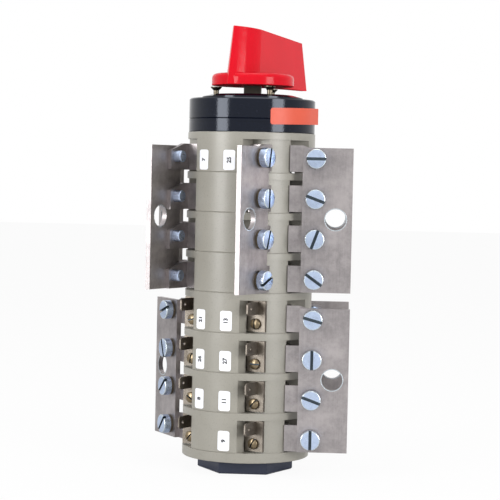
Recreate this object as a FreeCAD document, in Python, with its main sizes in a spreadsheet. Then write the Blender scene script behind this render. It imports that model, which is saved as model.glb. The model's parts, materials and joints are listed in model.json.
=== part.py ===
import FreeCAD, Part
import math
import os
import Sketcher

# Cam switch: eight round contact stages stacked on a square shaft, a latch
# housing above them and a pointer handle on top. Millimetres, +Z up towards
# the handle, origin on the shaft's axis at the foot of the end cap.

SIZES = {
    # Stack of housings
    "stage_radius": 32.5,
    "stage_pitch": 20.0,
    "flange_height": 3.6,
    "edge_bevel": 0.3,
    "cap_height": 7.3,
    "cap_across_flats": 42.3,
    "cover_height": 5.0,
    "latch_base_height": 6.8,
    "latch_plate_height": 4.9,
    "latch_body_height": 10.3,
    "latch_inset": 0.3,
    "latch_radius": "=stage_radius - latch_inset",
    "boss_radius": 25.7,
    "boss_flat_radius": 21.0,
    "boss_edge_height": 1.1,
    "boss_height": 2.3,
    # Walls and pockets of one stage
    "wall_half_width": 13.7,
    "pocket_floor": 20.5,
    "column_recess": 0.8,
    "column_groove_angle": 24.0,
    "cam_chamber_radius": 15.0,
    "contact_chamber_half_width": 11.0,
    "contact_chamber_end": 29.0,
    "contact_chamber_height": 14.0,
    "guide_half_width": 4.0,
    "guide_height": 9.2,
    "spring_pocket_end": 31.0,
    # Fits
    "running_gap": 0.2,
    "seat_gap": 0.1,
    "shaft_gap": 0.05,
    # Shaft, cams and contact carriers
    "shaft_width": 8.7,
    "journal_radius": 4.0,
    "journal_length": 3.4,
    "hub_radius": 8.0,
    "cam_mean_radius": 11.0,
    "cam_thickness": 7.0,
    "cam_travel": 1.5,
    "throw_angle": 45.0,
    "cam_ramp_half_angle": 53.0,
    "plunger_height": 8.0,
    "plunger_foot": 1.0,
    "bridge_half_length": 9.8,
    "bridge_thickness": 1.2,
    "bridge_height": 6.0,
    "contact_tip_thickness": 0.7,
    "contact_tip_width": 4.0,
    "leaf_thickness": 0.4,
    # Terminal straps and busbars
    "strap_thickness": 2.0,
    "strap_height": 13.2,
    "strap_end_height": 9.5,
    "strap_foot": 0.7,
    "strap_inner_half_gap": 5.6,
    "strap_inner_height": 8.0,
    "strap_outer_face": 25.2,
    "strap_reach": 38.0,
    "screw_height": 7.3,
    "bar_thickness": 2.5,
    "bar_width": 25.0,
    "bar_start": 27.0,
    "bar_top_margin": 5.5,
    "bar_foot_margin": 6.5,
    "bar_hole_radius": 5.25,
    "bar_hole_distance": 43.8,
    "bar_screw_distance": 33.6,
    "bar_screw_hole_radius": 3.2,
    "busbar_screw_radius": 2.9,
    "busbar_screw_end": 19.0,
    "busbar_head_radius": 4.9,
    "busbar_head_height": 3.7,
    "busbar_washer_radius": 4.7,
    "busbar_washer_height": 1.3,
    "screw_slot_width": 1.6,
    "screw_slot_depth": 1.6,
    # Free terminals
    "terminal_thickness": 1.5,
    "terminal_edge": 24.2,
    "terminal_height": 15.4,
    "tab_offset": 19.5,
    "tab_thickness": 0.8,
    "tab_height": 6.3,
    "tab_reach": 32.0,
    "tab_foot": 8.6,
    "tab_hole_radius": 0.8,
    "clamp_screw_offset": 19.0,
    "clamp_screw_height": 3.9,
    "clamp_head_radius": 2.75,
    "clamp_head_height": 2.0,
    "clamp_slot_width": 0.9,
    "clamp_slot_depth": 0.9,
    # Tie bolts, inserts and mounting screws
    "bolt_circle_radius": 18.7,
    "tie_bolt_radius": 1.8,
    "tie_head_radius": 3.2,
    "tie_head_height": 2.6,
    "tie_head_recess": 3.2,
    "insert_radius": 3.0,
    "insert_foot": 1.6,
    "insert_height": 13.0,
    "insert_bore_radius": 1.9,
    "insert_overlap": 4.0,
    "mounting_screw_radius": 1.4,
    "mounting_head_radius": 2.9,
    "mounting_head_height": 1.9,
    "mounting_screw_length": 12.0,
    "mounting_stand_off": 4.0,
    # Latch
    "star_radius": 12.5,
    "star_notch_depth": 1.7,
    "star_notch_half_width": 3.6,
    "star_height": 6.0,
    "star_count": 8,
    "slider_half_width": 3.6,
    "slider_height": 5.6,
    "slider_length": 7.5,
    "slider_travel": 1.2,
    "latch_spring_radius": 2.4,
    "latch_spring_wall": 0.7,
    "latch_channel_end": 28.0,
    # Handle
    "handle_gap": 4.7,
    "disc_radius": 21.0,
    "disc_height": 6.0,
    "disc_round": 2.4,
    "pointer_tail": 23.4,
    "pointer_reach": 50.0,
    "pointer_half_width": 8.0,
    "pointer_tip_half_width": 1.8,
    "pointer_side_radius": 22.0,
    "pointer_tail_height": 29.8,
    "pointer_tip_height": 24.6,
    "pointer_draft_tail": 5.0,
    "pointer_draft_tip": 6.0,
    "pointer_draft_side": 1.5,
    "pointer_angle": 59.5,
    "handle_bore_depth": 19.0,
    "handle_screw_radius": 1.9,
    "handle_screw_head_radius": 3.6,
    "handle_screw_head_height": 2.8,
    "handle_screw_length": 9.0,
    "handle_seat_height": 20.4,
}

STAGES_PER_GROUP = 4
GROUPS = ("upper", "lower")
WALL_ANGLES = {"a": 240, "b": 0, "c": 120}
# Each terminal's wall and the side of that wall on which it lies
TERMINALS = {
    "t1": ("a", 1),
    "t2": ("b", -1),
    "t3": ("b", 1),
    "t4": ("c", -1),
    "t5": ("c", 1),
    "t6": ("a", -1),
}
FREE_TERMINALS = ("t1", "t6")

Vector = FreeCAD.Vector
UP = Vector(0, 0, 1)

doc = FreeCAD.newDocument("cam_switch")


def make_sheet():
    """Put every driving dimension in its own named cell."""
    cells = doc.addObject("Spreadsheet::Sheet", "Sizes")
    for row, (alias, value) in enumerate(SIZES.items(), 1):
        cells.set(f"A{row}", alias)
        cells.set(f"B{row}", str(value))
        cells.setAlias(f"B{row}", alias)
    doc.recompute()
    return cells


sheet = make_sheet()


def cell(expression):
    """Turn plain aliases in an expression into references to the sheet."""
    words = []
    word = ""
    for letter in expression + " ":
        if letter.isalnum() or letter == "_":
            word += letter
            continue
        words.append(f"Sizes.{word}" if word in SIZES else word)
        words.append(letter)
        word = ""
    return "".join(words).strip()


def value(expression):
    """Work out an expression's number from the sheet."""
    for name in sorted(SIZES, key=len, reverse=True):
        expression = expression.replace(name, repr(float(getattr(sheet, name))))
    return FreeCAD.Units.parseQuantity(expression).Value


def new_body(label):
    """Start a body under its own label."""
    body = doc.addObject("PartDesign::Body", label)
    body.Label = label
    return body


def new_sketch(body, plane="XY", height=None, turned=0):
    """Attach a sketch to one of the body's own planes, raised or turned if asked."""
    sketch = body.newObject("Sketcher::SketchObject", f"{body.Name}_sketch")
    for feature in body.Origin.OriginFeatures:
        if feature.Role == f"{plane}_Plane":
            sketch.AttachmentSupport = [(feature, "")]
    sketch.MapMode = "FlatFace"
    sketch.AttachmentOffset = FreeCAD.Placement(Vector(0, 0, 0), FreeCAD.Rotation(UP, turned))
    if height:
        sketch.setExpression("AttachmentOffset.Base.z", cell(height))
    return sketch


def bind(sketch, kind, geometry, point, expression):
    """Bind one coordinate of a sketch point to the sheet."""
    index = sketch.addConstraint(
        Sketcher.Constraint(kind, geometry, point, value(expression))
    )
    sketch.setExpression(f"Constraints[{index}]", cell(expression))


def add_outline(sketch, points):
    """Close a polygon whose corners are pairs of expressions."""
    corners = [Vector(value(x), value(y), 0) for x, y in points]
    first = sketch.GeometryCount
    count = len(corners)
    for index in range(count):
        line = Part.LineSegment(corners[index], corners[(index + 1) % count])
        sketch.addGeometry(line, False)
    for index in range(count):
        here, after = first + index, first + (index + 1) % count
        sketch.addConstraint(Sketcher.Constraint("Coincident", here, 2, after, 1))
    for index, (x, y) in enumerate(points):
        bind(sketch, "DistanceX", first + index, 1, x)
        bind(sketch, "DistanceY", first + index, 1, y)


def add_rectangle(sketch, left, right, low, high):
    """Draw a rectangle between four bound edges."""
    add_outline(sketch, [(left, low), (right, low), (right, high), (left, high)])


def add_circle(sketch, x, y, radius):
    """Draw a circle with a bound centre and radius."""
    circle = Part.Circle(Vector(value(x), value(y), 0), UP, value(radius))
    index = sketch.addGeometry(circle, False)
    bind(sketch, "DistanceX", index, 3, x)
    bind(sketch, "DistanceY", index, 3, y)
    constraint = sketch.addConstraint(
        Sketcher.Constraint("Radius", index, value(radius))
    )
    sketch.setExpression(f"Constraints[{constraint}]", cell(radius))


def pad(body, sketch, length, reversed_way=False, midplane=False):
    """Raise a sketch into a solid."""
    feature = body.newObject("PartDesign::Pad", f"{body.Name}_pad")
    feature.Profile = sketch
    feature.Reversed = reversed_way
    feature.Midplane = midplane
    feature.setExpression("Length", cell(length))
    body.Tip = feature
    return feature


def pocket(body, sketch, length, reversed_way=True, midplane=False):
    """Cut a sketch out of the solid, upwards from its plane unless told otherwise."""
    feature = body.newObject("PartDesign::Pocket", f"{body.Name}_pocket")
    feature.Profile = sketch
    feature.Reversed = reversed_way
    feature.Midplane = midplane
    feature.setExpression("Length", cell(length))
    body.Tip = feature
    return feature


def turn(body, sketch, cut=False, angle=None):
    """Revolve a profile in the XZ plane about the body's Z axis."""
    kind = "PartDesign::Groove" if cut else "PartDesign::Revolution"
    feature = body.newObject(kind, f"{body.Name}_turn")
    feature.Profile = sketch
    feature.ReferenceAxis = (sketch, ["V_Axis"])
    if angle:
        feature.Midplane = True
        feature.setExpression("Angle", cell(angle))
    else:
        feature.Angle = 360
    body.Tip = feature
    return feature


def repeat_round(body, features, count):
    """Repeat features evenly about the body's Z axis."""
    pattern = body.newObject("PartDesign::PolarPattern", f"{body.Name}_pattern")
    pattern.Originals = features
    for feature in body.Origin.OriginFeatures:
        if feature.Role == "Z_Axis":
            pattern.Axis = (feature, [""])
    pattern.Angle = 360
    if isinstance(count, int):
        pattern.Occurrences = count
    else:
        pattern.setExpression("Occurrences", cell(count))
    body.Tip = pattern
    return pattern


def link(source, angle=0, x="0", y="0", z="0"):
    """Place one more copy of a body, its position bound to the sheet."""
    copy = doc.addObject("App::Link", f"{source.Name}_copy")
    copy.LinkedObject = source
    copy.Placement = FreeCAD.Placement(Vector(0, 0, 0), FreeCAD.Rotation(UP, angle))
    for axis, distance in zip("xyz", (x, y, z)):
        copy.setExpression(f"Placement.Base.{axis}", cell(distance))
    return copy


def gather(label, copies):
    """Collect placed copies into one named sub-part."""
    group = doc.addObject("Part::Compound", label)
    group.Label = label
    group.Links = copies
    return group


def mirrored(source, label):
    """Mirror a body across the plane through its wall's centre line."""
    twin = doc.addObject("Part::Mirroring", label)
    twin.Source = source
    twin.Base = Vector(0, 0, 0)
    twin.Normal = Vector(0, 1, 0)
    return twin


# Heights of the stack, each an expression on the sheet
STACK_FOOT = "cap_height + cover_height"
LATCH_FOOT = f"{STACK_FOOT} + {2 * STAGES_PER_GROUP} * stage_pitch"
LATCH_BODY_FOOT = f"{LATCH_FOOT} + latch_base_height"
RIM_TOP = f"{LATCH_BODY_FOOT} + latch_body_height"
BOSS_TOP = f"{RIM_TOP} + boss_height"
HANDLE_FOOT = f"{BOSS_TOP} + handle_gap"
WALL_HEIGHT = "stage_pitch - flange_height"


def stage_foot(number):
    """Height of a stage's lower seam, stage 1 being the top one."""
    return f"{STACK_FOOT} + {2 * STAGES_PER_GROUP - number} * stage_pitch"


def group_foot(group):
    """Height of the lowest seam of a group of stages."""
    return stage_foot(STAGES_PER_GROUP if group == "upper" else 2 * STAGES_PER_GROUP)


def bevelled_disc(body, radius, height, foot="0"):
    """Turn a disc whose two outer edges are bevelled."""
    sketch = new_sketch(body, "XZ")
    add_outline(sketch, [
        ("0", foot),
        (f"{radius} - edge_bevel", foot),
        (radius, f"{foot} + edge_bevel"),
        (radius, f"{foot} + {height} - edge_bevel"),
        (f"{radius} - edge_bevel", f"{foot} + {height}"),
        ("0", f"{foot} + {height}"),
    ])
    turn(body, sketch)


def cut_bolt_holes(body, radius, length, height=None):
    """Cut the three holes of the tie bolts."""
    sketch = new_sketch(body, height=height)
    add_circle(sketch, "-bolt_circle_radius", "0", radius)
    repeat_round(body, [pocket(body, sketch, length)], 3)


def make_stage():
    """One contact stage: a flange, three walls, three columns, six open pockets."""
    body = new_body("stage_master")
    bevelled_disc(body, "stage_radius", "stage_pitch")

    corners = new_sketch(body)
    outside = "stage_radius + edge_bevel"
    add_rectangle(corners, "pocket_floor", outside, "wall_half_width", outside)
    add_rectangle(corners, "pocket_floor", outside, f"-({outside})", "-wall_half_width")
    repeat_round(body, [pocket(body, corners, WALL_HEIGHT)], 3)

    recess = new_sketch(body, "XZ")
    add_rectangle(recess, f"-({outside})", "column_recess - stage_radius", "0", WALL_HEIGHT)
    repeat_round(body, [turn(body, recess, cut=True, angle="column_groove_angle")], 3)

    chamber = new_sketch(body)
    add_circle(chamber, "0", "0", "cam_chamber_radius")
    pocket(body, chamber, WALL_HEIGHT)

    bore = new_sketch(body)
    add_circle(bore, "0", "0", "hub_radius + running_gap")
    pocket(body, bore, "stage_pitch")

    channel = new_sketch(body)
    side = "contact_chamber_half_width"
    add_rectangle(channel, "pocket_floor", "contact_chamber_end", f"-{side}", side)
    contact_room = pocket(body, channel, "contact_chamber_height")

    guide = new_sketch(body)
    reach = "spring_pocket_end"
    side = "guide_half_width"
    add_rectangle(guide, "cam_chamber_radius - column_recess", reach, f"-{side}", side)
    plunger_guide = pocket(body, guide, "guide_height + running_gap")

    slot = new_sketch(body)
    side = "wall_half_width + seat_gap"
    add_rectangle(slot, "pocket_floor", "pocket_floor + strap_thickness + seat_gap", f"-({side})", side)
    strap_slot = pocket(body, slot, "strap_foot + strap_inner_height + seat_gap")
    repeat_round(body, [contact_room, plunger_guide, strap_slot], 3)

    cut_bolt_holes(body, "tie_bolt_radius + seat_gap", "stage_pitch")
    return body


def make_end_cover():
    """Plain disc below the last stage, bored for the shaft's journal."""
    body = new_body("end_cover_master")
    bevelled_disc(body, "stage_radius", "cover_height")
    bearing = new_sketch(body, height="cover_height")
    add_circle(bearing, "0", "0", "journal_radius + shaft_gap")
    pocket(body, bearing, "journal_length + seat_gap", reversed_way=False)
    cut_bolt_holes(body, "tie_bolt_radius + seat_gap", "cover_height")
    return gather("end_cover", [link(body, z="cap_height")])


def make_end_cap():
    """Hexagonal foot with three recesses for the tie bolts' heads."""
    body = new_body("end_cap")
    outline = new_sketch(body)
    points = []
    for turn_number in range(6):
        angle = 60 * turn_number
        reach = f"cap_across_flats / 2 / {math.cos(math.pi / 6):.9f}"
        points.append((
            f"{reach} * {math.cos(math.radians(angle)):.9f}",
            f"{reach} * {math.sin(math.radians(angle)):.9f}",
        ))
    add_outline(outline, points)
    block = pad(body, outline, "cap_height")
    doc.recompute()
    edges = []
    for index, edge in enumerate(block.Shape.Edges, 1):
        if abs(edge.CenterOfMass.z) < 1e-6:
            edges.append(f"Edge{index}")
    bevel = body.newObject("PartDesign::Chamfer", "end_cap_bevel")
    bevel.Base = (block, edges)
    bevel.setExpression("Size", cell("2 * edge_bevel"))
    body.Tip = bevel
    cut_bolt_holes(body, "tie_head_radius + running_gap", "tie_head_recess")
    cut_bolt_holes(body, "tie_bolt_radius + seat_gap", "cap_height")
    return body


def make_tie_bolts():
    """Three long bolts that clamp the whole stack from below."""
    body = new_body("tie_bolt_master")
    profile = new_sketch(body, "XZ")
    seat = "tie_head_recess"
    end = f"{LATCH_FOOT} + insert_foot + insert_overlap"
    add_outline(profile, [
        ("0", f"{seat} - tie_head_height"),
        ("tie_head_radius", f"{seat} - tie_head_height"),
        ("tie_head_radius", seat),
        ("tie_bolt_radius", seat),
        ("tie_bolt_radius", end),
        ("0", end),
    ])
    turn(body, profile)
    slot = new_sketch(body)
    side = "clamp_slot_width / 2"
    add_rectangle(slot, "-tie_head_radius", "tie_head_radius", f"-{side}", side)
    pocket(body, slot, "tie_head_recess - tie_head_height + clamp_slot_depth")
    return gather("tie_bolts", three_round(body))


def three_round(source, z="0"):
    """Copies of a body at the three column angles."""
    copies = []
    for angle in (60, 180, 300):
        cosine, sine = math.cos(math.radians(angle)), math.sin(math.radians(angle))
        copies.append(link(
            source,
            angle,
            f"bolt_circle_radius * {cosine:.9f}",
            f"bolt_circle_radius * {sine:.9f}",
            z,
        ))
    return copies


def make_inserts():
    """Three threaded sleeves that take a tie bolt below and a screw above."""
    body = new_body("insert_master")
    ring = new_sketch(body)
    add_circle(ring, "0", "0", "insert_radius")
    add_circle(ring, "0", "0", "insert_bore_radius")
    pad(body, ring, "insert_height")
    return gather("threaded_inserts", three_round(body, f"{LATCH_FOOT} + insert_foot"))


def make_mounting_screws():
    """Three countersunk screws standing loose in the boss."""
    body = new_body("mounting_screw_master")
    profile = new_sketch(body, "XZ")
    top = "mounting_screw_length"
    add_outline(profile, [
        ("0", "0"),
        ("mounting_screw_radius", "0"),
        ("mounting_screw_radius", f"{top} - mounting_head_height"),
        ("mounting_head_radius", f"{top} - edge_bevel"),
        ("mounting_head_radius", top),
        ("0", top),
    ])
    turn(body, profile)
    slot = new_sketch(body, height=top)
    side = "clamp_slot_width / 2"
    add_rectangle(slot, "-mounting_head_radius", "mounting_head_radius", f"-{side}", side)
    pocket(body, slot, "clamp_slot_depth", reversed_way=False)
    foot = f"{BOSS_TOP} + mounting_stand_off - mounting_screw_length"
    return gather("mounting_screws", three_round(body, foot))


def make_latch_base():
    """Lower half of the latch housing, with the bearing of the star wheel."""
    body = new_body("latch_base_master")
    bevelled_disc(body, "latch_radius", "latch_base_height")
    bearing = new_sketch(body)
    add_circle(bearing, "0", "0", "hub_radius + shaft_gap")
    pocket(body, bearing, "latch_base_height")
    cut_latch_room(body, height="latch_base_height - star_height / 2", length="star_height")
    cut_bolt_holes(body, "insert_radius + seat_gap", "latch_base_height", height="insert_foot")
    cut_bolt_holes(body, "tie_bolt_radius + seat_gap", "latch_base_height")
    seam = new_sketch(body, "XZ")
    seam_top = "latch_plate_height + edge_bevel"
    add_rectangle(seam, "latch_radius - edge_bevel", "stage_radius", "latch_plate_height", seam_top)
    turn(body, seam, cut=True)
    return gather("latch_base", [link(body, z=LATCH_FOOT)])


def cut_latch_room(body, length, height=None):
    """Cut the star wheel's chamber and the two slider channels."""
    room = new_sketch(body, height=height)
    add_circle(room, "0", "0", "star_radius + 4 * running_gap")
    pocket(body, room, length)
    channels = new_sketch(body, height=height)
    side = "slider_half_width + running_gap"
    end = "latch_channel_end"
    add_rectangle(channels, f"-({side})", side, f"-{end}", end)
    pocket(body, channels, length)


def make_latch_housing():
    """Upper half of the latch housing, with the stepped boss."""
    body = new_body("latch_housing_master")
    profile = new_sketch(body, "XZ")
    rim = "latch_body_height"
    add_outline(profile, [
        ("0", "0"),
        ("latch_radius - edge_bevel", "0"),
        ("latch_radius", "edge_bevel"),
        ("latch_radius", f"{rim} - 2 * edge_bevel"),
        ("latch_radius - 2 * edge_bevel", rim),
        ("boss_radius", rim),
        ("boss_radius", f"{rim} + boss_edge_height"),
        ("boss_flat_radius", f"{rim} + boss_height"),
        ("0", f"{rim} + boss_height"),
    ])
    turn(body, profile)
    bore = new_sketch(body)
    add_circle(bore, "0", "0", f"shaft_width * {math.sqrt(0.5):.9f} + running_gap")
    pocket(body, bore, "latch_body_height + boss_height")
    cut_latch_room(body, length="star_height / 2")
    insert_top = "insert_foot + insert_height - latch_base_height"
    cut_bolt_holes(body, "insert_radius + seat_gap", insert_top)
    cut_bolt_holes(body, "mounting_screw_radius + running_gap", "latch_body_height + boss_height")
    return gather("latch_housing", [link(body, z=LATCH_BODY_FOOT)])


def make_shaft():
    """Square shaft with a round journal in the end cover."""
    body = new_body("shaft_master")
    journal = new_sketch(body)
    add_circle(journal, "0", "0", "journal_radius")
    pad(body, journal, "journal_length + seat_gap")
    square = new_sketch(body, height="journal_length + seat_gap")
    side = "shaft_width / 2"
    add_rectangle(square, f"-{side}", side, f"-{side}", side)
    top = f"{HANDLE_FOOT} + handle_bore_depth - seat_gap"
    pad(body, square, f"{top} - ({STACK_FOOT} + seat_gap)")
    tapped = new_sketch(body, height=f"{top} - ({STACK_FOOT} - journal_length)")
    add_circle(tapped, "0", "0", "handle_screw_radius + seat_gap")
    pocket(body, tapped, "handle_screw_length", reversed_way=False)
    return gather("shaft", [link(body, z=f"{STACK_FOOT} - journal_length")])


def make_star_wheel():
    """Detent wheel with eight V notches, one for every half quarter turn."""
    body = new_body("star_wheel_master")
    hub = new_sketch(body)
    add_circle(hub, "0", "0", "hub_radius")
    pad(body, hub, "latch_base_height - star_height / 2")
    wheel = new_sketch(body, height="latch_base_height - star_height / 2")
    add_circle(wheel, "0", "0", "star_radius")
    thickness = "star_height - 2 * seat_gap"
    pad(body, wheel, thickness)
    notch = new_sketch(body, height="latch_base_height - star_height / 2")
    add_outline(notch, [
        ("star_radius - star_notch_depth", "0"),
        ("star_radius + star_notch_depth", "-2 * star_notch_half_width"),
        ("star_radius + star_notch_depth", "2 * star_notch_half_width"),
    ])
    repeat_round(body, [pocket(body, notch, thickness)], "star_count")
    square = new_sketch(body)
    side = "shaft_width / 2 + shaft_gap"
    add_rectangle(square, f"-({side})", side, f"-({side})", side)
    pocket(body, square, "latch_base_height + star_height")
    return gather("star_wheel", [link(body, z=f"{LATCH_FOOT} + seat_gap")])


def make_slider():
    """Latch slider with a rounded nose that rides over the star wheel."""
    body = new_body("slider_master")
    block = new_sketch(body)
    side = "slider_half_width"
    start = "star_radius + seat_gap"
    add_rectangle(block, start, f"{start} + slider_length", f"-{side}", side)
    solid = pad(body, block, "slider_height")
    doc.recompute()
    nose = body.newObject("PartDesign::Fillet", "slider_nose")
    nose.Base = (solid, upright_edges(solid, lambda edge: edge.CenterOfMass.x < value(start) + 1))
    nose.setExpression("Radius", cell("slider_half_width - seat_gap"))
    body.Tip = nose
    pit = new_sketch(body, "YZ", height=f"{start} + slider_length")
    add_circle(pit, "0", "slider_height / 2", "latch_spring_radius + seat_gap")
    pocket(body, pit, "slider_length / 2", reversed_way=False)
    return body


def upright_edges(feature, wanted):
    """Names of the vertical edges of a feature that pass a test."""
    names = []
    for index, edge in enumerate(feature.Shape.Edges, 1):
        box = edge.BoundBox
        if box.XLength < 1e-6 and box.YLength < 1e-6 and wanted(edge):
            names.append(f"Edge{index}")
    return names


def make_latch_spring():
    """Spring of one slider, drawn as the sleeve that its coils fill."""
    body = new_body("latch_spring_master")
    start = "star_radius + seat_gap + slider_length / 2"
    ring = new_sketch(body, "YZ", height=f"{start} + seat_gap")
    add_circle(ring, "0", "slider_height / 2", "latch_spring_radius")
    add_circle(ring, "0", "slider_height / 2", "latch_spring_radius - latch_spring_wall")
    pad(body, ring, f"latch_channel_end - ({start}) - 3 * seat_gap")
    return body


def cam_points(mirrored_way):
    """Radius of the cam in polar form.

    Over each third of a turn the radius falls in a straight line with the
    angle, by the carrier's travel for the throw angle, and then rises again
    over the short stretch that no plunger meets.
    """
    rate = value("cam_travel") / value("throw_angle")
    ramp_half = value("cam_ramp_half_angle")
    steps = (-ramp_half, -ramp_half / 2, 0, ramp_half / 2, ramp_half)
    ramps = []
    for centre in (0, 120, 240):
        ramp = []
        for step in steps:
            radius = value("cam_mean_radius") + mirrored_way * rate * step
            angle = math.radians(centre + step)
            ramp.append(Vector(radius * math.cos(angle), radius * math.sin(angle), 0))
        ramps.append(ramp)
    return ramps


def make_cam(label, mirrored_way):
    """Three-ramp cam on a hub that fills one stage's height."""
    ramps = cam_points(mirrored_way)
    edges = []
    for index, ramp in enumerate(ramps):
        curve = Part.BSplineCurve()
        curve.interpolate(ramp)
        edges.append(curve.toShape())
        edges.append(Part.makeLine(ramp[-1], ramps[(index + 1) % len(ramps)][0]))
    disc = Part.Face(Part.Wire(edges)).extrude(UP * value("cam_thickness"))
    disc.translate(UP * value("plunger_foot + (plunger_height - cam_thickness) / 2"))
    hub = Part.makeCylinder(value("hub_radius"), value("stage_pitch - seat_gap"), UP * value("seat_gap"))
    side = value("shaft_width + 2 * shaft_gap")
    corner = Vector(-side / 2, -side / 2, 0)
    square = Part.makeBox(side, side, value("stage_pitch"), corner)
    feature = doc.addObject("Part::Feature", label)
    feature.Shape = disc.fuse(hub).cut(square).removeSplitter()
    return feature


def make_plunger():
    """Moulded plunger between the cam and the bridge of one wall."""
    body = new_body("plunger_master")
    outline = new_sketch(body)
    start = "cam_mean_radius + running_gap"
    side = "guide_half_width - running_gap"
    add_rectangle(outline, start, BRIDGE_FACE, f"-({side})", side)
    solid = pad(body, outline, "plunger_height")
    doc.recompute()
    nose = body.newObject("PartDesign::Fillet", "plunger_nose")
    nose.Base = (solid, upright_edges(solid, lambda edge: edge.CenterOfMass.x < value(start) + 1))
    nose.setExpression("Radius", cell("guide_half_width - running_gap - seat_gap"))
    body.Tip = nose
    peg = new_sketch(body)
    side = "guide_half_width / 3"
    add_rectangle(peg, f"{BRIDGE_FACE} - seat_gap", f"{BRIDGE_FACE} + bridge_thickness", f"-{side}", side)
    pad(body, peg, "(plunger_height + bridge_height) / 2 - bridge_thickness")
    return body


# The strap carries a tip, and at rest the bridge's tip stands one travel off it
FIXED_TIP_FACE = "pocket_floor + strap_thickness + contact_tip_thickness"
BRIDGE_FACE = f"{FIXED_TIP_FACE} + cam_travel + seat_gap + contact_tip_thickness"


def make_bridge():
    """Bridge contact with a silver tip at each end, slotted for the plunger."""
    body = new_body("bridge_master")
    outline = new_sketch(body)
    end = "bridge_half_length"
    back = f"{BRIDGE_FACE} + bridge_thickness"
    tip = f"{BRIDGE_FACE} - contact_tip_thickness"
    inner = "bridge_half_length - contact_tip_width"
    add_outline(outline, [
        (BRIDGE_FACE, f"-({inner})"),
        (tip, f"-({inner})"),
        (tip, f"-{end}"),
        (back, f"-{end}"),
        (back, end),
        (tip, end),
        (tip, inner),
        (BRIDGE_FACE, inner),
    ])
    pad(body, outline, "bridge_height")
    window = new_sketch(body)
    side = "guide_half_width / 3 + seat_gap"
    margin = "bridge_thickness / 2"
    add_rectangle(window, f"{BRIDGE_FACE} - {margin}", f"{back} + {margin}", f"-({side})", side)
    pocket(body, window, "bridge_height - bridge_thickness")
    return body


def make_contact_spring():
    """Bowed leaf that presses the bridge onto the fixed contacts."""
    body = new_body("contact_spring_master")
    back = f"{BRIDGE_FACE} + bridge_thickness"
    crown = "contact_chamber_end - cam_travel + running_gap"
    width = "guide_half_width - running_gap"
    outline = new_sketch(body)
    thick = "leaf_thickness"
    add_outline(outline, [
        (back, f"-({width})"),
        (f"{back} + {thick}", f"-({width})"),
        (crown, "-guide_half_width / 3"),
        (crown, "guide_half_width / 3"),
        (f"{back} + {thick}", width),
        (back, width),
        (f"{crown} - {thick}", "guide_half_width / 4"),
        (f"{crown} - {thick}", "-guide_half_width / 4"),
    ])
    pad(body, outline, "bridge_height - 2 * bridge_thickness")
    return body


def make_strap():
    """Bent terminal strap: contact leg inside the wall, tapered leg to a busbar."""
    body = new_body("strap_master")
    outline = new_sketch(body)
    floor = "pocket_floor"
    front = f"{floor} + strap_thickness"
    outer = "strap_outer_face"
    inner = f"{outer} - strap_thickness"
    tip = f"{front} + contact_tip_thickness"
    tip_end = "strap_inner_half_gap + contact_tip_width"
    add_outline(outline, [
        (floor, "strap_inner_half_gap"),
        (tip, "strap_inner_half_gap"),
        (tip, tip_end),
        (front, tip_end),
        (front, inner),
        ("strap_reach", inner),
        ("strap_reach", outer),
        (floor, outer),
    ])
    pad(body, outline, "strap_height")
    leg = new_sketch(body, "YZ", height=floor)
    above = "strap_height + edge_bevel"
    low = "strap_inner_height"
    add_rectangle(leg, "strap_inner_half_gap - edge_bevel", "wall_half_width + running_gap", low, above)
    pocket(body, leg, "strap_thickness + contact_tip_thickness + edge_bevel")
    taper = new_sketch(body, "XZ", height=f"-({outer}) - edge_bevel")
    add_outline(taper, [
        ("bar_start", "strap_height"),
        ("strap_reach + edge_bevel", "strap_end_height"),
        ("strap_reach + edge_bevel", above),
        ("bar_start", above),
    ])
    pocket(body, taper, "strap_thickness + 3 * edge_bevel")
    hole = new_sketch(body, "XZ", height=f"-({outer}) - edge_bevel")
    add_circle(hole, "bar_screw_distance", "screw_height - strap_foot", "busbar_screw_radius + seat_gap")
    pocket(body, hole, "strap_thickness + 3 * edge_bevel")
    return body


def make_free_terminal():
    """Flat contact plate with a blade tab, on the pocket's floor."""
    body = new_body("free_terminal_master")
    outline = new_sketch(body)
    floor = "pocket_floor"
    front = f"{floor} + terminal_thickness"
    tip = "pocket_floor + strap_thickness + contact_tip_thickness"
    tip_end = "strap_inner_half_gap + contact_tip_width"
    add_outline(outline, [
        (floor, "strap_inner_half_gap"),
        (tip, "strap_inner_half_gap"),
        (tip, tip_end),
        (front, tip_end),
        (front, "terminal_edge"),
        (floor, "terminal_edge"),
    ])
    pad(body, outline, "terminal_height")
    leg = new_sketch(body, "YZ", height=floor)
    above = "terminal_height + edge_bevel"
    low = "strap_inner_height"
    add_rectangle(leg, "strap_inner_half_gap - edge_bevel", "wall_half_width + running_gap", low, above)
    pocket(body, leg, "strap_thickness + contact_tip_thickness + edge_bevel")
    blade = new_sketch(body, "XZ", height="-tab_offset - tab_thickness")
    start = f"{front} - edge_bevel"
    top = "tab_foot + tab_height"
    nip = "3 * edge_bevel"
    add_outline(blade, [
        (start, "tab_foot"),
        (f"tab_reach - {nip}", "tab_foot"),
        ("tab_reach", f"tab_foot + {nip}"),
        ("tab_reach", f"{top} - {nip}"),
        (f"tab_reach - {nip}", top),
        (start, top),
    ])
    add_circle(blade, "tab_reach - tab_height / 2", "tab_foot + tab_height / 2", "tab_hole_radius")
    pad(body, blade, "tab_thickness")
    return body


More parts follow.
